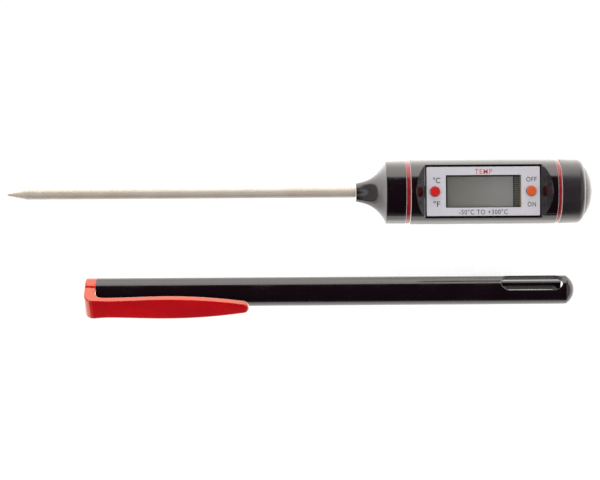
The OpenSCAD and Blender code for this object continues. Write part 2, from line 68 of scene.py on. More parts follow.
barrel_low, barrel_high = box_mm("barrel")
BARREL_R = (barrel_high.y - barrel_low.y) / 2
AXIS = ((barrel_low.y + barrel_high.y) / 2, barrel_low.z + BARREL_R)
label_low, label_high = box_mm("face_label")
window_low, window_high = box_mm("display_window")
left_low, left_high = box_mm("left_button")
right_low, right_high = box_mm("right_button")
rear_ring_low, rear_ring_high = box_mm("rear_ring")
front_ring_low, front_ring_high = box_mm("front_ring")
cap_low, cap_high = box_mm("battery_cap")
nose_low, nose_high = box_mm("nose_cone")
sheath_low, sheath_high = box_mm("sheath_tube")
clip_ring_low, clip_ring_high = box_mm("clip_ring")
clip_arm_high = box_mm("clip_arm")[1]
SHEATH_R = (sheath_high.z - sheath_low.z) / 2
SHEATH_AXIS = ((sheath_low.y + sheath_high.y) / 2, sheath_low.z + SHEATH_R)
CLIP_ROOT_LEN = 3
RING_BACK = clip_ring_high.x - CLIP_ROOT_LEN
MOUTH_BORE_R = 4.05
MOUTH_SEAT_R = 5.0

LABEL_MARGIN = 0.6
FLAT_LEN = 47.3
FACE_Z = label_low.z - AXIS[1]
FACE_X0 = label_low.x - LABEL_MARGIN
FACE_X1 = FACE_X0 + FLAT_LEN
RAMP_RUN = 3.9
DECK_T = 1.6
BARREL_WALL = 1.5
SPIGOT_R = BARREL_R - 1.6
CAP_BORE_R = 10.2
PANE_LAP = 1.0
PANE_CORNER_R = 0.3
FULLY_ROUND = 99
CLIP_END_R = 2.65
CLIP_TURN = radians(41.5)
SLOT_TURN = radians(37)


# ---- mesh tools ----

def link(obj):
    bpy.context.scene.collection.objects.link(obj)
    return obj


def make(name, verts, faces, material=None):
    """An object from vertices in millimetres, with doubles merged and normals pointing out."""
    mesh = bpy.data.meshes.new(name)
    mesh.from_pydata([Vector(v) * MM for v in verts], [], faces)
    bm = bmesh.new()
    bm.from_mesh(mesh)
    bmesh.ops.remove_doubles(bm, verts=bm.verts, dist=2e-7)
    bmesh.ops.dissolve_degenerate(bm, edges=bm.edges, dist=1e-7)
    bmesh.ops.recalc_face_normals(bm, faces=bm.faces)
    bm.to_mesh(mesh)
    bm.free()
    if material:
        mesh.materials.append(material)
    return link(bpy.data.objects.new(name, mesh))


def evaluated_mesh(obj):
    bpy.context.view_layer.update()
    return bpy.data.meshes.new_from_object(obj.evaluated_get(bpy.context.evaluated_depsgraph_get()))


def combine(obj, other, operation="DIFFERENCE"):
    """Cuts other out of obj, or joins it on, and removes other."""
    step = obj.modifiers.new("combine", "BOOLEAN")
    step.operation = operation
    step.solver = "EXACT"
    step.object = other
    if other.data.materials:
        step.material_mode = "TRANSFER"
    mesh = evaluated_mesh(obj)
    obj.modifiers.clear()
    obj.data = mesh
    bpy.data.objects.remove(other)
    return obj


def bevel(obj, width, segments=3, angle=40):
    step = obj.modifiers.new("bevel", "BEVEL")
    step.width = width * MM
    step.segments = segments
    step.limit_method = "ANGLE"
    step.angle_limit = radians(angle)
    step.harden_normals = False
    mesh = evaluated_mesh(obj)
    obj.modifiers.clear()
    obj.data = mesh
    return obj


def shade(obj, angle=32):
    """Smooth shading that keeps edges sharper than angle, and keeps flat faces flat."""
    mesh = obj.data
    mesh.polygons.foreach_set("use_smooth", [True] * len(mesh.polygons))
    mesh.set_sharp_from_angle(angle=radians(angle))
    step = obj.modifiers.new("normals", "WEIGHTED_NORMAL")
    step.keep_sharp = True
    step.weight = 60
    return obj


def rounded(points, radii, steps=6, closed=True):
    """An outline with its corners turned into arcs. radii is one radius, or one per corner."""
    count = len(points)
    if not hasattr(radii, "__len__"):
        radii = [radii] * count
    out = []
    for i, (point, radius) in enumerate(zip(points, radii)):
        corner = Vector(point)
        if radius <= 0 or (not closed and i in (0, count - 1)):
            out.append(tuple(corner))
            continue
        back = Vector(points[i - 1]) - corner
        ahead = Vector(points[(i + 1) % count]) - corner
        half = back.angle(ahead) / 2
        reach = min(radius / tan(half), back.length * 0.49, ahead.length * 0.49)
        radius = reach * tan(half)
        back.normalize()
        ahead.normalize()
        middle = corner + (back + ahead).normalized() * (radius / sin(half))
        start, end = corner + back * reach - middle, corner + ahead * reach - middle
        turn = start.angle(end)
        for k in range(steps + 1):
            t = k / steps
            spoke = (start * sin((1 - t) * turn) + end * sin(t * turn)) / sin(turn)
            out.append(tuple(middle + spoke))
    return out


def lathe(outline, axis, segments=128):
    """Vertices and faces of an outline of (x, radius) points turned about a line along X."""
    verts, faces, rings = [], [], []
    for x, r in outline:
        if r < 1e-6:
            rings.append([len(verts)])
            verts.append((x, axis[0], axis[1]))
            continue
        rings.append(list(range(len(verts), len(verts) + segments)))
        turns = [2 * pi * k / segments for k in range(segments)]
        verts += [(x, axis[0] + r * sin(a), axis[1] + r * cos(a)) for a in turns]
    for a, b in zip(rings, rings[1:] + rings[:1]):
        if len(a) == len(b) == 1:
            continue
        for k in range(segments):
            n = (k + 1) % segments
            loop = [a[k % len(a)], a[n % len(a)], b[n % len(b)], b[k % len(b)]]
            faces.append(list(dict.fromkeys(loop)))
    return verts, faces


def turned(name, outline, axis, material, segments=128, angle=32):
    return shade(make(name, *lathe(outline, axis, segments), material), angle)


def skin(rings):
    """Faces between rings of equal length, with a cap on each end."""
    count = len(rings[0])
    verts = [v for ring in rings for v in ring]
    faces = []
    for i in range(len(rings) - 1):
        for k in range(count):
            n = (k + 1) % count
            faces.append([i * count + k, i * count + n, (i + 1) * count + n, (i + 1) * count + k])
    faces.append(list(range(count)))
    faces.append([(len(rings) - 1) * count + k for k in reversed(range(count))])
    return verts, faces


def looped(rings):
    """Faces round a closed loop of rings."""
    count, total = len(rings[0]), len(rings)
    verts = [v for ring in rings for v in ring]
    faces = []
    for i in range(total):
        j = (i + 1) % total
        for k in range(count):
            n = (k + 1) % count
            faces.append([i * count + k, i * count + n, j * count + n, j * count + k])
    return verts, faces


def prism(outline, z0, z1):
    """An outline of (x, y) points between two heights."""
    return skin([[(x, y, z0) for x, y in outline], [(x, y, z1) for x, y in outline]])


def rectangle(low, high, radius=0.0, steps=5):
    corners = [(low[0], low[1]), (high[0], low[1]), (high[0], high[1]), (low[0], high[1])]
    return rounded(corners, radius, steps) if radius else corners


def disc(x, y, radius, segments=64):
    return [(x + radius * cos(2 * pi * k / segments), y + radius * sin(2 * pi * k / segments))
            for k in range(segments)]


def arc(middle, radius, start, end, steps):
    """Points on an arc, the angles in degrees."""
    turns = [radians(start + (end - start) * k / steps) for k in range(steps + 1)]
    return [(middle[0] + radius * cos(a), middle[1] + radius * sin(a)) for a in turns]


def pane_opening(steps=5):
    """The opening under the pane, which laps over its edge all round."""
    low = (window_low.x + PANE_LAP, window_low.y + PANE_LAP)
    high = (window_high.x - PANE_LAP, window_high.y - PANE_LAP)
    return rectangle(low, high, PANE_CORNER_R, steps)


# ---- material tools ----

class Shader:
    """A principled material with short ways to add and join nodes."""

    def __init__(self, name, colour, roughness=0.4, metallic=0.0, **sockets):
        self.material = bpy.data.materials.new(name)
        self.material.use_nodes = True
        self.tree = self.material.node_tree
        self.bsdf = self.tree.nodes["Principled BSDF"]
        self.set(self.bsdf, "Base Color", (*colour, 1))
        self.set(self.bsdf, "Roughness", roughness)
        self.set(self.bsdf, "Metallic", metallic)
        for key, value in sockets.items():
            self.set(self.bsdf, key.replace("_", " ").title().replace("Ior", "IOR"), value)

    def set(self, node, key, value):
        if isinstance(value, bpy.types.NodeSocket):
            self.tree.links.new(value, node.inputs[key])
        else:
            node.inputs[key].default_value = value

    def node(self, kind, output=0, properties=None, **inputs):
        node = self.tree.nodes.new("ShaderNode" + kind)
        for key, value in (properties or {}).items():
            setattr(node, key, value)
        for key, value in inputs.items():
            self.set(node, int(key[1:]) if key[0] == "i" and key[1:].isdigit() else key, value)
        return node.outputs[output]

    def place(self, scale=(1, 1, 1)):
        """The point in the object's own space, in millimetres, stretched by scale."""
        point = self.node("TexCoord", "Object")
        return self.node("Mapping", Vector=point, Scale=[s / MM for s in scale])

    def noise(self, scale, detail=3, stretch=(1, 1, 1), roughness=0.55):
        return self.node("TexNoise", 0, Vector=self.place(stretch), Scale=scale, Detail=detail,
                         Roughness=roughness)

    def between(self, value, low, high, to_low=0.0, to_high=1.0):
        """value from low..high to to_low..to_high, held at the ends."""
        return self.node("MapRange", 0, i0=value, i1=low, i2=high, i3=to_low, i4=to_high)

    def mix(self, factor, a, b):
        node = self.tree.nodes.new("ShaderNodeMix")
        node.data_type = "RGBA"
        self.set(node, 0, factor)
        self.set(node, 6, (*a, 1) if isinstance(a, tuple) else a)
        self.set(node, 7, (*b, 1) if isinstance(b, tuple) else b)
        return node.outputs[2]

    def bump(self, height, distance, strength=1.0):
        """distance in millimetres."""
        return self.node("Bump", 0, Height=height, Distance=distance * MM, Strength=strength)


def gloss_black(name, base=(0.0036, 0.0010, 0.0026), roughness=(0.10, 0.20)):
    """Moulded black plastic: nearly even gloss, faint flow marks, fine dust and hairline scuffs."""
    s = Shader(name, base, specular_ior_level=0.5)
    cloud = s.noise(0.09, 3)
    hair = s.noise(2.4, 2, (0.06, 1, 1))
    rough = s.between(cloud, 0.35, 0.7, roughness[0], roughness[1])
    scuffed = s.between(hair, 0.60, 0.72, 0.0, 0.10)
    s.set(s.bsdf, "Roughness", s.node("Math", 0, {"operation": "ADD"}, i0=rough, i1=scuffed))
    dust = s.node("TexVoronoi", 0, Vector=s.place(), Scale=0.55)
    speck = s.between(dust, 0.025, 0.045, 1.0, 0.0)
    s.set(s.bsdf, "Base Color", s.mix(speck, base, (0.10, 0.09, 0.085)))
    flow = s.noise(0.22, 2, (0.25, 1, 1))
    s.set(s.bsdf, "Normal", s.bump(flow, 0.012, 0.6))
    return s.material


def coloured_plastic(name, base, deep, roughness=0.28, **sockets):
    """Moulded coloured plastic: a slight swirl in the colour and a fine satin grain."""
    s = Shader(name, base, roughness, **sockets)
    swirl = s.between(s.noise(0.18, 3, (0.4, 1, 1)), 0.35, 0.65)
    s.set(s.bsdf, "Base Color", s.mix(swirl, base, deep))
    rough = s.between(s.noise(0.5, 3), 0.3, 0.7, roughness * 0.85, roughness * 1.2)
    s.set(s.bsdf, "Roughness", rough)
    s.set(s.bsdf, "Normal", s.bump(s.noise(1.2, 2), 0.004, 0.4))
    return s.material


def satin_steel(name, base=(0.37, 0.335, 0.30), roughness=0.55):
    """Centreless-ground stainless: fine rings round the stem, a warm stain here and there."""
    s = Shader(name, base, roughness, 0.45)
    rings = s.noise(5, 2, (1, 0.05, 0.05))
    stain = s.between(s.noise(0.05, 3), 0.45, 0.75)
    warmer = (base[0] * 0.86, base[1] * 0.80, base[2] * 0.72)
    s.set(s.bsdf, "Base Color", s.mix(stain, base, warmer))
    s.set(s.bsdf, "Roughness", s.between(rings, 0.3, 0.7, roughness - 0.07, roughness + 0.08))
    s.set(s.bsdf, "Normal", s.bump(rings, 0.004, 0.35))
    return s.material


def printed_film(name):
    """Silver-blue film of the label: fine metallic grain under a satin face."""
    s = Shader(name, (0.50, 0.50, 0.56), 0.42, 0.25, coat_weight=0.15, coat_roughness=0.3)
    grain = s.noise(7, 2, (0.35, 1, 1))
    share = s.between(grain, 0.35, 0.65)
    s.set(s.bsdf, "Base Color", s.mix(share, (0.425, 0.425, 0.475), (0.49, 0.49, 0.545)))
    s.set(s.bsdf, "Roughness", s.between(s.noise(0.3, 3), 0.3, 0.7, 0.36, 0.48))
    s.set(s.bsdf, "Normal", s.bump(grain, 0.003, 0.4))
    return s.material


def ink(name, colour):
    """Screen-printed ink with small pinholes of lighter cover."""
    s = Shader(name, colour, 0.5)
    lighter = tuple(min(1.0, c * 1.5 + 0.03) for c in colour)
    s.set(s.bsdf, "Base Color", s.mix(s.between(s.noise(9, 3), 0.55, 0.8), colour, lighter))
    return s.material


def clear_window(name):
    """A thin clear pane: what is behind it, under a plain reflection."""
    s = Shader(name, (1, 1, 1), 0.05)
    shine = s.node("BsdfGlossy", Roughness=s.between(s.noise(0.6, 2), 0.3, 0.7, 0.03, 0.08))
    through = s.node("BsdfTransparent", Color=(0.93, 0.94, 0.95, 1))
    inside = s.node("NewGeometry", "Backfacing")
    outer = s.node("Math", 0, {"operation": "SUBTRACT"}, i0=1.0, i1=inside)
    share = s.node("Math", 0, {"operation": "MULTIPLY"}, i0=s.node("Fresnel", IOR=1.45), i1=outer)
    mixed = s.node("MixShader", 0, None, i0=share, i1=through, i2=shine)
    s.tree.links.new(mixed, s.tree.nodes["Material Output"].inputs["Surface"])
    return s.material


def display_grey(name, low_x, high_x):
    """The switched-off display with painted shade: olive grey and darker at its left end, greyer and
    lighter to the right, as if shaded by the window's left wall.
    """
    s = Shader(name, (0.16, 0.155, 0.14), 0.34)
    x = s.node("SeparateXYZ", 0, Vector=s.place())
    # Painted shade: the colour runs from darker at the left end to lighter three quarters of the way to
    # the right.
    along = s.between(x, low_x, low_x + (high_x - low_x) * 0.75)
    shaded_tint = s.mix(along, (0.125, 0.118, 0.092), (0.205, 0.198, 0.190))
    fine = s.between(s.noise(14, 2), 0.3, 0.7)
    s.set(s.bsdf, "Base Color", s.mix(fine, shaded_tint, s.mix(0.12, shaded_tint, (0.30, 0.30, 0.28))))
    return s.material


def plain(name, colour, roughness=0.5, metallic=0.0, grain=4.0, **sockets):
    """Small inner pieces: the colour varied by a fine grain."""
    s = Shader(name, colour, roughness, metallic, **sockets)
    darker = tuple(c * 0.8 for c in colour)
    value = s.noise(grain, 3)
    s.set(s.bsdf, "Base Color", s.mix(s.between(value, 0.35, 0.65), darker, colour))
    rough = s.between(value, 0.3, 0.7, roughness * 0.85, min(1.0, roughness * 1.15))
    s.set(s.bsdf, "Roughness", rough)
    s.set(s.bsdf, "Normal", s.bump(value, 0.004, 0.4))
    return s.material


BLACK = gloss_black("black_plastic")
CAP_BLACK = gloss_black("cap_plastic", (0.0085, 0.0050, 0.0080), (0.27, 0.37))
SLOT_BLACK = plain("sawn_black", (0.006, 0.004, 0.006), 0.5, grain=2.5, specular_ior_level=0.15)
RED = coloured_plastic("red_plastic", (0.40, 0.0018, 0.0060), (0.34, 0.0016, 0.0070), 0.10, ior=1.6,
                       specular_tint=(1.0, 0.88, 0.52, 1))
RING_RED = coloured_plastic("ring_rubber", (0.20, 0.004, 0.011), (0.17, 0.003, 0.009), 0.20,
                            specular_tint=(1.0, 0.74, 0.62, 1))
BUTTON_RED = coloured_plastic("button_red", (0.40, 0.004, 0.006), (0.44, 0.009, 0.006), 0.20)
BUTTON_ORANGE = coloured_plastic("button_orange", (0.42, 0.062, 0.011), (0.46, 0.074, 0.014), 0.20)
STEEL = satin_steel("probe_steel")
FILM = printed_film("label_film")
PANE = clear_window("window_pane")
INK_BLACK = ink("ink_black", (0.03, 0.03, 0.032))
INK_GREY = ink("ink_grey", (0.055, 0.055, 0.06))
INK_RED = ink("ink_red", (0.50, 0.025, 0.022))
DARK_PLASTIC = plain("inner_plastic", (0.025, 0.025, 0.028), 0.5)
BOARD = plain("board_green", (0.015, 0.11, 0.04), 0.35, grain=1.5)
RESIN = plain("chip_resin", (0.012, 0.012, 0.012), 0.22, grain=0.8)
PLATED = plain("nickel_plate", (0.62, 0.61, 0.58), 0.25, 1.0, grain=2.0)
GOLD = plain("gold_plate", (0.72, 0.50, 0.20), 0.28, 1.0, grain=2.0)
IVORY = plain("ivory_plastic", (0.62, 0.56, 0.44), 0.45)
POTTING = plain("white_potting", (0.72, 0.72, 0.69), 0.6)
WIRE_BLACK = plain("wire_black", (0.02, 0.02, 0.02), 0.45)
WIRE_RED = plain("wire_red", (0.38, 0.015, 0.015), 0.45)
ELASTOMER = plain("elastomer", (0.035, 0.033, 0.032), 0.6)


# ---- thermometer ----

def unmirrored(obj):
    """Keeps the piece out of its neighbours' reflections, which show only the studio."""
    obj.visible_glossy = False
    return obj


def finish_piece(obj, body, slot, *nodes):
    """Rides the piece on its body and hides the CAD nodes that it stands for. The slot is not used."""
    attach(obj, body)
    if nodes:
        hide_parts(*nodes)
    return obj


def probe():
    """The steel stem and its pointed tip, with the fine seam between them."""
    tip_low, tip_high = box_mm("probe_tip")
    tube_low, tube_high = box_mm("probe_tube")
    r = (tube_high.z - tube_low.z) / 2
    wall, point_r = 0.4, 0.45
    shank_r, neck_x = r - 0.2, nose_low.x
    rise = atan2(r - point_r, tube_low.x - tip_low.x)
    nose = arc((tip_low.x + point_r, 0), point_r, 180, 90 + rise * 180 / pi, 6)
    tip = nose + [(tube_low.x - 0.12, r - 0.035), (tube_low.x, r - 0.06), (tube_low.x, r - wall),
                  (tip_high.x, r - wall), (tip_high.x, 0)]
    finish_piece(unmirrored(turned("tip_cone", tip, AXIS, STEEL, 64)), "handle", "steel", "probe_tip")
    stem = rounded([(tube_low.x, r), (neck_x - 0.3, r), (neck_x - 0.2, shank_r), (tube_high.x, shank_r),
                    (tube_high.x, r - wall), (tube_low.x, r - wall)], [0.06, 0.05, 0, 0.1, 0, 0], 3)
    finish_piece(unmirrored(turned("stem_tube", stem, AXIS, STEEL, 64)), "handle", "steel", "probe_tube")


def nose_cone():
    """Neck, trumpet flare and collar, with the spigot that enters the barrel."""
    neck_r, collar_r = 3.87, (nose_high.z - nose_low.z) / 2
    flare_len, slope, steps = 12.2, 0.2, 40
    probe_r, cavity_r, cavity_x = 1.85, 9.5, nose_low.x + 14
    cubic = collar_r - neck_r - slope * flare_len
    flare = [(nose_low.x + flare_len * i / steps,
              neck_r + slope * flare_len * i / steps + cubic * (i / steps) ** 3) for i in range(1, steps)]
    corners = [(nose_low.x, probe_r), (nose_low.x, neck_r)]
    start = rounded(corners + flare[:1], [0, 0.35, 0], 5, closed=False)
    shoulder = [(nose_low.x + flare_len, collar_r), (front_ring_low.x, collar_r),
                (front_ring_low.x, SPIGOT_R), (nose_high.x, SPIGOT_R), (nose_high.x, cavity_r),
                (cavity_x, cavity_r), (cavity_x, probe_r)]
    back = rounded(flare[-1:] + shoulder, [0, 0.35, 0.25, 0, 0.2, 0.2, 0, 0], 5, closed=False)
    outline = start[:-1] + flare[:-1] + back
    body = make("nose_cone_moulding", *lathe(outline, AXIS, 160), BLACK)
    flat = prism(rectangle((front_ring_high.x + 0.8, AXIS[0] - 14), (nose_high.x + 1, AXIS[0] + 14)),
                 AXIS[1] + 7.2, AXIS[1] + 14)
    combine(body, make("flat", *flat))
    finish_piece(unmirrored(shade(body)), "handle", "black_plastic", "nose_cone")


def sealing_ring(name, low, high, inner_r, body, node):
    """A rubber ring between two mouldings, slightly crowned."""
    r = (high.z - low.z) / 2
    outline = rounded([(low.x, inner_r), (low.x, r - 0.12), ((low.x + high.x) / 2, r),
                       (high.x, r - 0.12), (high.x, inner_r)], [0, 0.25, 1.5, 0.25, 0], 4)
    finish_piece(unmirrored(turned(name, outline, AXIS, RING_RED, 160)), body, "red_rubber", node)


def d_section(x, height, radius, fillet=0.22, chord=10, corner=5, curve=64):
    """A round section with a flat at the given height above the axis, its two corners filleted."""
    height = min(height, radius)
    fillet = min(fillet, (radius - height) * 0.5 + 1e-4)
    middle = sqrt(max(0.0, (radius - fillet) ** 2 - (height - fillet) ** 2))
    angle = atan2(height - fillet, middle)
    half = [(middle * k / chord, height) for k in range(chord)]
    for k in range(corner + 1):
        a = pi / 2 + (angle - pi / 2) * k / corner
        half.append((middle + fillet * cos(a), height - fillet + fillet * sin(a)))
    for k in range(1, curve + 1):
        a = angle + (-pi / 2 - angle) * k / curve
        half.append((radius * cos(a), radius * sin(a)))
    loop = half + [(-y, z) for y, z in reversed(half[1:-1])]
    return [(x, AXIS[0] + y, AXIS[1] + z) for y, z in loop]


def recess_profile(x0, x1, drop, radius):
    """(x, height) stations of the flat and its ramps, closer where a ramp meets the round."""
    rise = radius - drop
    run = RAMP_RUN * rise / (BARREL_R - FACE_Z)
    shift = drop_shift(drop)
    left, right = FACE_X0 - shift, FACE_X1 + shift
    corners = [(x0, radius), (left - run, radius), (left, drop),
               (right, drop), (right + run, radius), (x1, radius)]
    line = rounded(corners, [0, 0.7, 0.5, 0.5, 0.7, 0], 6, closed=False)
    out = []
    for (ax, ah), (bx, bh) in zip(line, line[1:]):
        steps = 24 if abs(bh - ah) > 1 else 1
        for k in range(steps):
            t = k / steps
            t = 1 - (1 - t) ** 2 if ah > bh else t * t
            out.append((ax + (bx - ax) * t, ah + (bh - ah) * t))
    return out + [line[-1]]


def drop_shift(drop):
    """How far the offset recess moves outwards when its floor is lowered to drop."""
    slope = (BARREL_R - FACE_Z) / RAMP_RUN
    return (FACE_Z - drop) * (sqrt(1 + 1 / slope ** 2) - 1 / slope)


def barrel():
    """The barrel: a tube with a flat recess between two ramps, and the openings in its deck."""
    edge = 0.3
    stations = recess_profile(barrel_low.x + edge, rear_ring_low.x - edge, FACE_Z, BARREL_R)
    turns = [pi / 2 * k / 6 for k in range(6)]
    edges = [(edge * (1 - cos(a)), BARREL_R - edge * (1 - sin(a))) for a in turns]
    rings = [d_section(barrel_low.x + inset, FULLY_ROUND, r) for inset, r in edges]
    rings += [d_section(x, h, BARREL_R) for x, h in stations]
    rings += [d_section(rear_ring_low.x - inset, FULLY_ROUND, r) for inset, r in reversed(edges)]
    body = make("barrel_moulding", *skin(rings), BLACK)
    bore_r = BARREL_R - BARREL_WALL
    inner = [d_section(x, h, bore_r, chord=4, corner=2, curve=32)
             for x, h in recess_profile(barrel_low.x - 1, rear_ring_low.x + 1, FACE_Z - DECK_T, bore_r)]
    combine(body, make("bore", *skin(inner)))
    deck = AXIS[1] + FACE_Z
    combine(body, make("opening", *prism(pane_opening(), deck - 3, deck + 1)))
    rebate = rectangle((window_low.x, window_low.y), (window_high.x, window_high.y))
    combine(body, make("rebate", *prism(rebate, window_low.z, deck + 1)))
    for low, high in ((left_low, left_high), (right_low, right_high)):
        x = (low.x + high.x) / 2
        combine(body, make("hole", *prism(disc(x, AXIS[0], 2.1), deck - 3, deck + 1)))
    finish_piece(unmirrored(shade(body, 28)), "handle", "black_plastic", "barrel")


def rear_plug():
    """The plug in the barrel's rear end, and its neck with the cap's coarse thread."""
    low, high = box_mm("rear_plug")
    crest, root, bore, pitch = 10.05, 9.55, 8.05, 1.75
    x0, x1 = rear_ring_low.x, high.x
    flange_r = BARREL_R - 1.55
    around, along = 96, 72
    rings = []
    for i in range(along + 1):
        x = x0 + (x1 - x0) * i / along
        fade = min(1, (x - x0) / 0.8, (x1 - x) / 0.5)
        ring = []
        for k in range(around):
            a = 2 * pi * k / around
            phase = ((x - x0) / pitch - k / around) % 1
            ridge = min(1, max(0, 2.4 - 7 * abs(phase - 0.5)))
            r = root + (crest - root) * ridge * max(0, fade)
            ring.append((x, AXIS[0] + r * sin(a), AXIS[1] + r * cos(a)))
        rings.append(ring)

    def plain_ring(x, r):
        turns = [2 * pi * k / around for k in range(around)]
        return [(x, AXIS[0] + r * sin(a), AXIS[1] + r * cos(a)) for a in turns]

    flange = [plain_ring(low.x, bore), plain_ring(low.x, flange_r), plain_ring(x0, flange_r)]
    rings = flange + [plain_ring(x0, crest)] + rings + [plain_ring(x1, bore)]
    piece = make("threaded_plug", *looped(rings), BLACK)
    finish_piece(unmirrored(shade(piece, 40)), "handle", "black_plastic", "rear_plug")


def battery_cap():
    """The domed screw cap: a rounded shoulder, a fine step and a shallow dome."""
    mouth_r, back_r, corner_r = 13.1, 12.9, 2.5
    corner_x = cap_low.x + 7.2
    turn = 78
    edge_r = back_r - corner_r + corner_r * cos(radians(turn))
    edge_x = corner_x + corner_r * sin(radians(turn))
    height = cap_high.x - edge_x
    dome_r = (edge_r ** 2 + height ** 2) / (2 * height)
    shoulder = [(corner_x + corner_r * sin(radians(a)), back_r - corner_r + corner_r * cos(radians(a)))
                for a in range(0, turn + 1, 6)]
    dome_turn = asin(edge_r / dome_r)
    dome = [(cap_high.x - dome_r * (1 - cos(dome_turn * t / 24)), dome_r * sin(dome_turn * t / 24))
            for t in range(23, -1, -1)]
    step = [(edge_x + 0.03, edge_r - 0.10), (edge_x + 0.02, edge_r - 0.20), (edge_x + 0.10, edge_r - 0.34)]
    dome = [p for p in dome if p[1] < edge_r - 0.5]
    pocket_r, pocket_x = 5.95, rear_ring_low.x + 5.3
    cell_x = box_mm("battery_cell")[1].x + 0.1
    lip = rounded([(cap_low.x + 1, CAP_BORE_R), (cap_low.x, CAP_BORE_R), (cap_low.x, mouth_r),
                   (corner_x, back_r)], [0, 0.2, 0.3, 0], 4, closed=False)
    inside = [(cell_x, 0), (cell_x, pocket_r), (pocket_x, pocket_r), (pocket_x, CAP_BORE_R)]
    outline = inside + lip[:-1] + shoulder + step + dome
    body = turned("battery_cap_moulding", outline, AXIS, CAP_BLACK, 160, 40)
    finish_piece(unmirrored(body), "cap", "black_plastic", "battery_cap")


def button(name, low, high, material, body, slot, node):
    """A push button with a rounded rim and a slightly dished face, on its flange."""
    x, r, flange_r, flange_h = (low.x + high.x) / 2, 2.0, 2.5, 0.8
    top = high.z - AXIS[1]
    base = low.z - AXIS[1]
    rim = rounded([(base, 0), (base, flange_r), (base + flange_h, flange_r), (base + flange_h, r),
                   (top, r), (top, r - 0.8), (top - 0.08, 0)], [0, 0.15, 0.15, 0, 0.42, 0.6, 0], 7,
                  closed=False)
    verts, faces = lathe(rim, (0, 0), 72)
    verts = [(x - v[2], AXIS[0] + v[1], AXIS[1] + v[0]) for v in verts]
    piece = shade(make(name, verts, faces, material))
    finish_piece(piece, body, slot, node)


def label():
    """The printed film on the deck, cut for the display and the two buttons."""
    z0, z1 = label_low.z - 1, label_high.z + 1
    outline = rectangle(label_low, label_high, 0.35)
    plate = make("label_plate", *prism(outline, label_low.z, label_high.z), FILM)
    combine(plate, make("opening", *prism(pane_opening(), z0, z1)))
    for low, high in ((left_low, left_high), (right_low, right_high)):
        x = (low.x + high.x) / 2
        combine(plate, make("hole", *prism(disc(x, AXIS[0], 2.15), z0, z1)))
    bevel(plate, 0.05, 2)
    finish_piece(shade(plate), "handle", "label", "face_label")


def lettering(name, words, middle, width, height, material, spacing=1.0, bold=0.012):
    """Flat printed words, scaled to the given width and height, on top of the label."""
    curve = bpy.data.curves.new(name, "FONT")
    curve.body = words
    curve.size = 1.0
    curve.resolution_u = 6
    curve.space_character = spacing
    curve.offset = bold
    curve.extrude = 0.5
    source = link(bpy.data.objects.new(name + "_curve", curve))
    mesh = evaluated_mesh(source)
    bpy.data.objects.remove(source)
    low = Vector([min(v.co[i] for v in mesh.vertices) for i in range(3)])
    high = Vector([max(v.co[i] for v in mesh.vertices) for i in range(3)])
    thickness = 0.03
    size = Vector((width, height, thickness))
    scale = Vector([size[i] / (high[i] - low[i]) for i in range(3)])
    place = Vector((middle[0], AXIS[0] + middle[1], label_high.z + thickness / 2 - 0.01))
    for v in mesh.vertices:
        v.co = Vector([(v.co[i] - (low[i] + high[i]) / 2) * scale[i] + place[i] for i in range(3)]) * MM
    mesh.materials.clear()
    mesh.materials.append(material)
    piece = link(bpy.data.objects.new(name, mesh))
    finish_piece(piece, "handle", "label")


def printing():
    """Generic words and units on the label."""
    left_x = (left_low.x + left_high.x) / 2
    right_x = (right_low.x + right_high.x) / 2
    middle = (window_low.x + window_high.x) / 2
    lettering("print_celsius", "°C", (left_x + 0.7, 4.55), 3.0, 2.4, INK_BLACK)
    lettering("print_fahrenheit", "°F", (left_x + 0.7, -5.05), 2.8, 2.4, INK_BLACK)
    lettering("print_off", "OFF", (right_x, 4.75), 4.2, 1.95, INK_BLACK, 1.1)
    lettering("print_on", "ON", (right_x + 0.1, -5.4), 3.4, 1.95, INK_BLACK, 1.15)
    lettering("print_range", "-50°C TO +300°C", (middle - 0.1, -8.4), 19.8, 2.1, INK_GREY, 1.12, 0.014)
    lettering("print_heading", "TEMP", (middle, 8.0), 7.0, 2.0, INK_RED, 1.15, 0.002)


def display_shadow_band(z, dark):
    """A dark band of painted shadow round the display's left end, top and bottom, where the opening's
    edges shade it.
    """
    outer = pane_opening(3)
    inner = rectangle((window_low.x + PANE_LAP + 0.75, window_low.y + PANE_LAP + 0.25),
                      (window_high.x - PANE_LAP - 0.05, window_high.y - PANE_LAP - 0.6),
                      PANE_CORNER_R, 3)
    levels = ((outer, z), (outer, z + 0.03), (inner, z + 0.03), (inner, z))
    sides = [[(x, y, h) for x, y in line] for line, h in levels]
    finish_piece(shade(make("display_shadow_band", *looped(sides), dark)), "handle", "lcd_front")


def display_contacts(glass_low, glass_high, x):
    """A row of contact fingers across the display's right end."""
    fingers = plain("contact_fingers", (0.13, 0.12, 0.105), 0.35, grain=5.0)
    pitch, width = 0.78, 0.40
    count = int((glass_high.y - glass_low.y - 1.2) / pitch)
    verts, faces = [], []
    for k in range(count):
        y = AXIS[0] + (k - (count - 1) / 2) * pitch
        more, loops = prism(rectangle((x + 0.5, y - width / 2), (x + 2.7, y + width / 2)),
                            glass_high.z - 0.16, glass_high.z - 0.12)
        faces += [[i + len(verts) for i in loop] for loop in loops]
        verts += more
    finish_piece(shade(make("display_contacts", verts, faces, fingers)), "handle", "lcd_front")


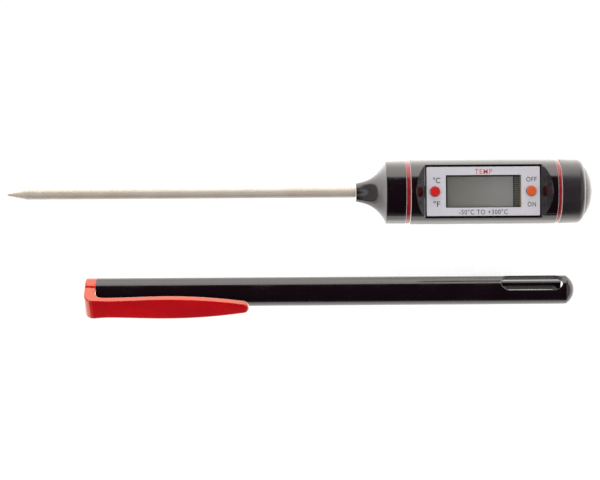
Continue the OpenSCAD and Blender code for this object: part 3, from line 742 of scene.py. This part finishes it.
def display():
    """The pane, the display glass behind it, its contact fingers and the glue line at its right end."""
    pane = rectangle(window_low, window_high)
    pane = make("window_pane", *prism(pane, window_low.z, window_high.z), PANE)
    bevel(pane, 0.04, 2)
    finish_piece(shade(pane), "handle", "window", "display_window")
    glass_low, glass_high = box_mm("lcd_front_glass")
    rear_x = box_mm("lcd_rear_glass")[1].x
    film_z = glass_high.z - 0.15
    grey = display_grey("display_grey", glass_low.x, rear_x)
    dark = plain("display_ledge", (0.030, 0.028, 0.025), 0.3, grain=3.0)
    ledge = rectangle(glass_low, glass_high)
    ledge = make("display_front_glass", *prism(ledge, glass_low.z, film_z), dark)
    finish_piece(shade(bevel(ledge, 0.05, 2)), "handle", "lcd_front", "lcd_front_glass")
    face = rectangle((glass_low.x, glass_low.y), (rear_x - 0.1, glass_high.y), 0.1)
    film = make("display_polariser", *prism(face, film_z, glass_high.z), grey)
    finish_piece(shade(bevel(film, 0.03, 2)), "handle", "lcd_front")
    # A dark band of painted shadow round the display's edges.
    display_shadow_band(glass_high.z + 0.01, dark)
    display_contacts(glass_low, glass_high, rear_x)
    glue = plain("glue_line", (0.42, 0.33, 0.18), 0.4, grain=3.0)
    strip = rectangle((window_high.x - 1.35, window_low.y + 1.05),
                      (window_high.x - 1.02, window_high.y - 1.05))
    line = make("glue_line", *prism(strip, glass_high.z + 0.02, window_low.z - 0.02), glue)
    finish_piece(shade(line), "handle", "lcd_front")


def button_cell():
    """The battery: a plated case with a rolled edge round the smaller negative face."""
    low, high = box_mm("battery_cell")
    r = (high.z - low.z) / 2
    outline = rounded([(low.x, 0), (low.x, r - 1.2), (low.x + 0.3, r - 1.1), (low.x + 0.3, r - 0.8),
                       (low.x + 0.1, r - 0.6), (low.x + 0.5, r), (high.x, r), (high.x, r - 0.7),
                       (high.x - 0.06, r - 0.9), (high.x - 0.06, 0)],
                      [0, 0.1, 0, 0.1, 0.15, 0.25, 0.3, 0, 0, 0], 4, closed=False)
    cell = turned("button_cell", outline, AXIS, PLATED, 96)
    finish_piece(unmirrored(cell), "cap", "plated", "battery_cell")


# ---- sheath ----

SLOT_W, SLOT_LEN = 7.0, 25.7
SHEATH_DOME_H = 3.5
SLOT_X1 = sheath_high.x - SHEATH_DOME_H - 1.6
SLOT_X0 = SLOT_X1 - SLOT_LEN
SLOT_OUT = Vector((0, sin(SLOT_TURN), cos(SLOT_TURN)))
SLOT_ACROSS = Vector((0, cos(SLOT_TURN), -sin(SLOT_TURN)))
SHEATH_MIDDLE = Vector((0, SHEATH_AXIS[0], SHEATH_AXIS[1]))


def slot_outline(steps=24):
    """Points of the slot's outline as (x, across, outward normal in that plane)."""
    r = SLOT_W / 2
    out = []
    for middle, start in ((SLOT_X1 - r, -90), (SLOT_X0 + r, 90)):
        for k in range(steps + 1):
            a = radians(start + 180 * k / steps)
            out.append((middle + r * cos(a), r * sin(a), (cos(a), sin(a))))
    return out


def slot_cutter():
    """A long prism through the sheath with the slot's outline."""
    reach = SHEATH_R + 2
    rings = []
    for depth in (-reach, reach):
        rings.append([tuple(Vector((x, 0, 0)) + SHEATH_MIDDLE + SLOT_ACROSS * w + SLOT_OUT * depth)
                      for x, w, _ in slot_outline()])
    return make("slot", *skin(rings), SLOT_BLACK)


def slot_rim_cutter(side, size):
    """A thin three-sided bar that follows the slot's edge on one side and cuts a chamfer there."""
    rings = []
    for x, w, (ex, ew) in slot_outline():
        n = side * sqrt(SHEATH_R ** 2 - w ** 2)
        edge = Vector((x, 0, 0)) + SHEATH_MIDDLE + SLOT_ACROSS * w + SLOT_OUT * n
        tangent = (SLOT_ACROSS - SLOT_OUT * (w / n)).normalized()
        outward = (Vector((ex, 0, 0)) + tangent * ew).normalized()
        a = edge + outward * size
        b = edge - SLOT_OUT * side * size
        far = edge + (edge - (a + b) / 2) * 4
        rings.append([tuple(a + (a - b) * 0.4), tuple(b - (a - b) * 0.4), tuple(far)])
    return make("rim", *looped(rings))


def sheath():
    """The sheath's tube with its domed end and the slot through both walls."""
    dome_x = sheath_high.x - SHEATH_DOME_H
    dome_r = (SHEATH_R ** 2 + SHEATH_DOME_H ** 2) / (2 * SHEATH_DOME_H)
    dome_turn = asin(SHEATH_R / dome_r)
    dome = [(sheath_high.x - dome_r * (1 - cos(dome_turn * k / 18)), dome_r * sin(dome_turn * k / 18))
            for k in range(18, -1, -1)]
    floor_x = dome_x - 1.4
    body_line = [(floor_x, 0), (floor_x, MOUTH_BORE_R), (sheath_low.x, MOUTH_BORE_R),
                 (sheath_low.x, MOUTH_SEAT_R), (RING_BACK, MOUTH_SEAT_R), (RING_BACK, SHEATH_R)]
    blend_line = rounded(body_line[-1:] + [(dome_x, SHEATH_R)] + dome[3:4], [0, 1.6, 0], 8, closed=False)
    outline = body_line[:-1] + blend_line[:-1] + dome[3:]
    body = make("sheath_moulding", *lathe(outline, SHEATH_AXIS, 128), BLACK)
    combine(body, slot_cutter())
    for side in (-1, 1):
        combine(body, slot_rim_cutter(side, 0.22))
    finish_piece(unmirrored(shade(body, 30)), "sheath", "black_plastic", "sheath_tube")


def eased(x, x0, x1, a, b):
    """A smooth step from a to b while x goes from x0 to x1."""
    return a + (b - a) * (1 - cos(pi * min(1, max(0, (x - x0) / (x1 - x0))))) / 2


def clip_half_width(x):
    """Half of the clip's width: a waist behind the mouth, a swelling, then a taper to the round tip."""
    x0, tip, end_r = clip_ring_low.x, clip_arm_high.x, CLIP_END_R
    waist, widest = RING_BACK + 4.5, RING_BACK + 29
    if x < waist:
        return eased(x, x0, waist, 5.4, 4.8)
    if x < widest:
        return eased(x, waist, widest, 4.8, 5.5)
    if x < tip - end_r:
        return 5.5 - (5.5 - end_r) * ((x - widest) / (tip - end_r - widest)) ** 2
    return sqrt(max(0.0, end_r ** 2 - (x - tip + end_r) ** 2))


def clip_section(outer, inner, corner=0.5, steps=5):
    """A ring with rounded corners between an inner and an outer (x, z) point, across the clip."""
    outer, inner = Vector(outer), Vector(inner)
    thickness = (outer - inner).length
    up = (outer - inner).normalized()
    halves = [clip_half_width(inner.x), clip_half_width(inner.x + up.x * thickness)]
    corner = max(0.01, min(corner, thickness * 0.45, min(halves) * 0.9))
    flat = rounded([(-halves[0], 0), (halves[0], 0), (halves[1], thickness), (-halves[1], thickness)],
                   [corner, corner, corner, min(0.9, corner * 1.8)], steps)
    turn = Matrix.Rotation(CLIP_TURN, 3, "X")
    ring = []
    for y, t in flat:
        point = inner + up * t
        ring.append(tuple(turn @ Vector((0, y, point.y)) + Vector((point.x, 0, 0)) + SHEATH_MIDDLE))
    return ring


def clip():
    """The red pocket clip and its mouth ring, one moulding whose arm rises from the ring at the clip's
    root.
    """
    x0 = clip_ring_low.x
    back, tip, end_r = RING_BACK, clip_arm_high.x, CLIP_END_R
    out_z, in_z, corner_r, fillet = 10.75, 8.15, 3.8, 2.7
    steps = 16
    turns = [radians(90 * k / steps) for k in range(steps + 1)]
    outer = [(x0, 3.0)]
    outer += [(x0 + corner_r * (1 - cos(a)), out_z - corner_r * (1 - sin(a))) for a in turns]
    inner = [(back, 3.0)]
    inner += [(back + fillet * (1 - cos(a)), in_z - fillet * (1 - sin(a))) for a in turns]
    start = inner[-1][0] + 0.4
    straight = tip - end_r - start
    for k in range(41):
        x = start + straight * k / 40
        outer.append((x, out_z))
        inner.append((x, in_z))
    for k in range(1, 17):
        a = pi / 2 * k / 16
        x = tip - end_r + end_r * sin(a) * 0.9995
        droop = 0.7 * (1 - cos(a)) ** 1.5
        outer.append((x, out_z - droop))
        inner.append((x, in_z + droop * 0.4))
    body = make("pocket_clip", *skin([clip_section(o, i) for o, i in zip(outer, inner)]), RED)
    lip_x, past_back, past_r = x0 + 1, back + 0.01, SHEATH_R + 0.02
    ring = rounded([(x0, MOUTH_BORE_R), (x0, SHEATH_R), (back, SHEATH_R), (back, MOUTH_SEAT_R),
                    (lip_x, MOUTH_SEAT_R), (lip_x, MOUTH_BORE_R)], [0.3, 0.8, 0.2, 0, 0, 0], 6)
    combine(body, make("mouth_ring", *lathe(ring, SHEATH_AXIS, 96)), "UNION")
    hollow = [(x0 - 1, 0), (x0 - 1, MOUTH_BORE_R), (lip_x, MOUTH_BORE_R), (lip_x, MOUTH_SEAT_R),
              (past_back, MOUTH_SEAT_R), (past_back, past_r), (back + 4, past_r), (back + 4, 0)]
    combine(body, make("hollow", *lathe(hollow, SHEATH_AXIS, 96)))
    unmirrored(shade(body, 40))
    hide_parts("clip_ring", "clip_arm")
    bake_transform(body)


# ---- CAD nodes that stay ----

def dress(material, *nodes):
    for node in nodes:
        mesh = unmirrored(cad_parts[node]).data
        mesh.materials.clear()
        mesh.materials.append(material)


def inner_pieces():
    dress(RESIN, "thermistor_bead", "chip_blob")
    dress(POTTING, "thermal_potting")
    dress(WIRE_BLACK, "sensor_leads")
    dress(WIRE_RED, "battery_wires")
    dress(GOLD, "crimp_collar", "battery_contact")
    dress(PLATED, "frame_screws", "battery_spring")
    dress(BOARD, "circuit_board")
    dress(ELASTOMER, "contact_strip")
    dress(IVORY, "left_plunger", "right_plunger")
    dress(DARK_PLASTIC, "lcd_frame", "left_switch", "right_switch", "battery_holder", "board_parts")
    dress(plain("rear_glass", (0.14, 0.14, 0.13), 0.2), "lcd_rear_glass")


# ---- stage ----

WHITE_LEVEL = 1.03
OVERHEAD_LEVEL = 0.04


def white_table():
    """A white table that glows with painted light in place of being lit: painted shade close to the
    pieces, and dimmer to glossy rays at its near edge.
    """
    size = 6.0
    corners = [(-size, -size, 0), (size, -size, 0), (size, size, 0), (-size, size, 0)]
    mesh = bpy.data.meshes.new("table")
    mesh.from_pydata(corners, [], [(0, 1, 2, 3)])
    table = link(bpy.data.objects.new("table", mesh))
    table.location.z = -0.0002
    s = Shader("white_table", (0, 0, 0), 0.9, specular_ior_level=0.0)

    def join(operation, a, b):
        return s.node("Math", 0, {"operation": operation}, i0=a, i1=b)

    warm = s.mix(s.node("LightPath", "Is Camera Ray"), (1, 0.975, 0.94), (1, 1, 1))
    s.set(s.bsdf, "Emission Color", warm)
    # Painted contact shade: the glow is dimmed where the pieces hide the open sky.
    open_sky = s.node("AmbientOcclusion", 1, {"samples": 8}, Distance=0.05)
    across = s.node("SeparateXYZ", 1, Vector=s.node("NewGeometry", "Position"))
    # Painted reflection level: to glossy rays the glow is brighter towards the light's side.
    towards_light = s.between(across, -0.03, 0.06, 2.5, 4.2)
    reflected = join("MULTIPLY", towards_light, s.between(across, -0.20, -0.09))
    below_sheath = join("MULTIPLY", s.between(across, -0.031, -0.028),
                        s.between(across, -0.008, 0.0, 1.0, 0.0))
    below_handle = join("MULTIPLY", s.between(across, 0.002, 0.008),
                        s.between(across, 0.028, 0.032, 1.0, 0.0))
    below = join("MAXIMUM", below_sheath, below_handle)
    shade_near = join("MAXIMUM", s.between(open_sky, 0.4, 0.95, 0.08, 1.0), below)
    shaded = join("MULTIPLY", reflected, shade_near)
    direct = s.between(open_sky, 0.16, 0.38, 0.10, WHITE_LEVEL)
    seen = s.node("LightPath", "Is Camera Ray")
    s.set(s.bsdf, "Emission Strength", s.node("Mix", 0, None, i0=seen, i2=shaded, i3=direct))
    mesh.materials.append(s.material)


def lit_world():
    """A band of soft light, brightest along the far side and dark overhead, white to the camera."""
    world = bpy.data.worlds.new("studio")
    bpy.context.scene.world = world
    world.use_nodes = True
    tree = world.node_tree
    tree.nodes.clear()

    def node(kind, **inputs):
        made = tree.nodes.new("ShaderNode" + kind)
        for key, value in inputs.items():
            numbered = key[0] == "i" and key[1:].isdigit()
            socket = made.inputs[int(key[1:])] if numbered else made.inputs[key]
            if isinstance(value, bpy.types.NodeSocket):
                tree.links.new(value, socket)
            else:
                socket.default_value = value
        return made

    def ramp(value, low, high, to_low, to_high):
        made = node("MapRange", i0=value, i1=low, i2=high, i3=to_low, i4=to_high)
        made.interpolation_type = "SMOOTHSTEP"
        return made.outputs[0]

    direction = tree.nodes.new("ShaderNodeTexCoord").outputs["Generated"]
    split = node("SeparateXYZ", Vector=direction)
    up = split.outputs["Z"]
    far_side = ramp(split.outputs["Y"], -0.30, 0.30, 0.0, 1.0)
    band_low = ramp(far_side, 0.0, 1.0, -0.04, 0.52)
    band_high = ramp(far_side, 0.0, 1.0, 0.06, 0.60)
    level = ramp(far_side, 0.0, 1.0, 2.4, 4.7)
    along_y = ramp(up, band_low, band_high, level, OVERHEAD_LEVEL)
    lamp = node("Math", i0=ramp(up, 0.60, 0.80, 0.0, 1.6), i1=ramp(up, 0.84, 0.95, 1.0, 0.0))
    lamp.operation = "MULTIPLY"
    along_x = node("Math", i0=lamp.outputs[0], i1=ramp(up, 0.70, 0.95, 1.0, OVERHEAD_LEVEL))
    along_x.operation = "ADD"
    sideways = node("Math", i0=split.outputs["X"])
    sideways.operation = "ABSOLUTE"
    share = ramp(sideways.outputs[0], 0.20, 0.50, 0.0, 1.0)
    strength = ramp(share, 0.0, 1.0, along_y, along_x.outputs[0])
    seen = tree.nodes.new("ShaderNodeLightPath").outputs["Is Camera Ray"]
    light = node("Background", Color=(1.0, 0.965, 0.93, 1), Strength=strength)
    white = node("Background", Color=(1, 1, 1, 1), Strength=WHITE_LEVEL)
    both = node("MixShader", i0=seen, i1=light.outputs[0], i2=white.outputs[0])
    out = tree.nodes.new("ShaderNodeOutputWorld")
    tree.links.new(both.outputs[0], out.inputs["Surface"])
    bpy.context.scene.view_settings.view_transform = "Standard"


def softbox():
    """A large soft light over the table that leaves no reflection in the gloss."""
    data = bpy.data.lights.new("softbox", "AREA")
    data.shape = "SQUARE"
    data.size = 1.4
    data.energy = 9.0
    data.color = (1, 0.985, 0.96)
    light = link(bpy.data.objects.new("softbox", data))
    light.location.z = 1.1
    light.visible_glossy = False
    light.visible_camera = False


def camera():
    """Straight above the set, turned a little, through a long lens."""
    distance, span, turn = 700, 246.3, -0.38
    data = bpy.data.cameras.new("camera")
    data.lens = data.sensor_width * distance / span
    data.clip_start, data.clip_end = 0.01, 20
    eye = link(bpy.data.objects.new("camera", data))
    eye.location = Vector((0, -0.04, AXIS[1] + distance)) * MM
    eye.rotation_euler = (0, 0, radians(turn))
    bpy.context.scene.camera = eye


probe()
nose_cone()
sealing_ring("front_seal", front_ring_low, front_ring_high, SPIGOT_R, "handle", "front_ring")
barrel()
rear_plug()
sealing_ring("rear_seal", rear_ring_low, rear_ring_high, CAP_BORE_R, "cap_ring", "rear_ring")
battery_cap()
button("left_button_cap", left_low, left_high, BUTTON_RED, "unit_key", "red_plastic", "left_button")
button("right_button_cap", right_low, right_high, BUTTON_ORANGE, "power_key", "orange_plastic",
       "right_button")
label()
printing()
display()
button_cell()
sheath()
clip()
inner_pieces()
white_table()
lit_world()
softbox()
camera()
